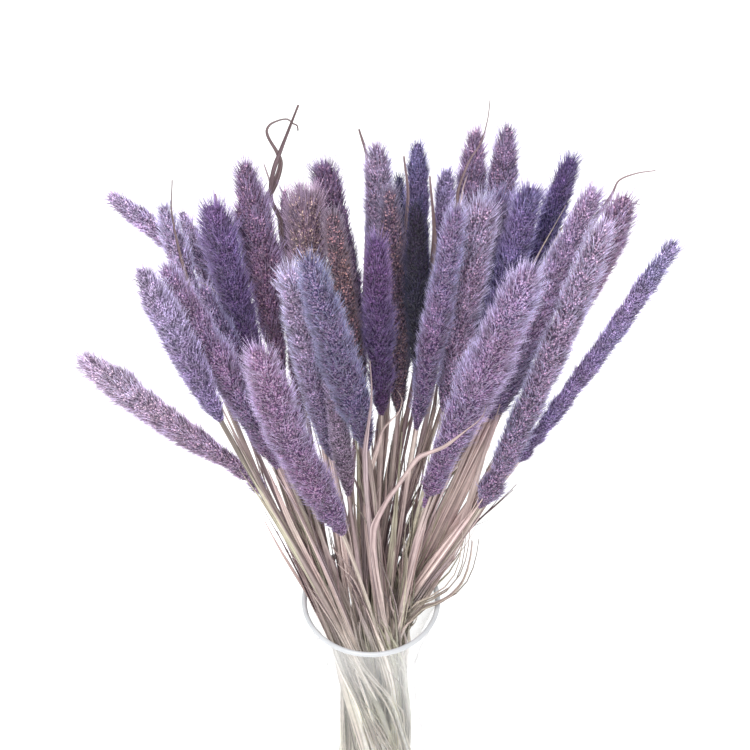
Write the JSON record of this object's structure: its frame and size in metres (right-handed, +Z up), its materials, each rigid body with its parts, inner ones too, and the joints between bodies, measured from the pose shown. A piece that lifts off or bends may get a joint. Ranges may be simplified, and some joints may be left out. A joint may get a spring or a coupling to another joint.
{
  "type": "dried foxtail grass bunch in a glass vase",
  "caption": "Bunch of dyed purple dried foxtail grass, its stems turning through the neck of a clear flared glass vase and its long bristly heads fanned out above.",
  "frame": {"origin": "middle of the vase's underside, on the surface that it stands on", "axes": "+Z up along the vase's axis, -Y towards the viewer of the picture, +X to that viewer's right; the bunch leans back, towards +Y"},
  "size_m": [0.325, 0.1842, 0.5556],
  "materials": {
    "clear_glass": "gloss",
    "violet_head": "matte",
    "lilac_head": "matte",
    "mauve_head": "matte",
    "rose_head": "matte",
    "umber_head": "matte",
    "plum_head": "matte",
    "dry_straw": "matte"
  },
  "bodies": {
    "root": {"vase": "clear_glass", "stalk_01": "lilac_head", "stalk_02": "lilac_head", "stalk_03": "lilac_head", "stalk_04": "violet_head", "stalk_05": "violet_head", "stalk_06": "lilac_head", "stalk_07": "rose_head", "stalk_08": "mauve_head", "stalk_09": "mauve_head", "stalk_10": "rose_head", "stalk_11": "mauve_head", "stalk_12": "mauve_head", "stalk_13": "umber_head", "stalk_14": "lilac_head", "stalk_15": "lilac_head", "stalk_16": "lilac_head", "stalk_17": "mauve_head", "stalk_18": "mauve_head", "stalk_19": "rose_head", "stalk_20": "violet_head", "stalk_21": "violet_head", "stalk_22": "violet_head", "stalk_23": "plum_head", "stalk_24": "plum_head", "stalk_25": "violet_head", "stalk_26": "mauve_head", "stalk_27": "rose_head", "stalk_28": "lilac_head", "stalk_29": "lilac_head", "stalk_30": "rose_head", "stalk_31": "violet_head", "stalk_32": "violet_head", "stalk_33": "lilac_head", "stalk_34": "lilac_head", "stalk_35": "mauve_head", "stalk_36": "rose_head", "stalk_37": "violet_head", "stalk_38": "plum_head", "leaf_strip_01": "dry_straw", "leaf_strip_02": "dry_straw", "leaf_strip_03": "dry_straw", "leaf_strip_04": "dry_straw", "leaf_strip_05": "dry_straw", "leaf_strip_06": "dry_straw", "leaf_strip_07": "dry_straw", "leaf_strip_08": "dry_straw", "leaf_strip_09": "dry_straw", "leaf_strip_10": "dry_straw", "leaf_strip_11": "dry_straw", "leaf_strip_12": "dry_straw", "leaf_strip_13": "dry_straw", "leaf_strip_14": "dry_straw", "leaf_strip_15": "dry_straw", "leaf_strip_16": "dry_straw", "leaf_strip_17": "dry_straw", "leaf_strip_18": "dry_straw", "leaf_strip_19": "dry_straw", "leaf_strip_20": "dry_straw"}
  },
  "joints": []
}
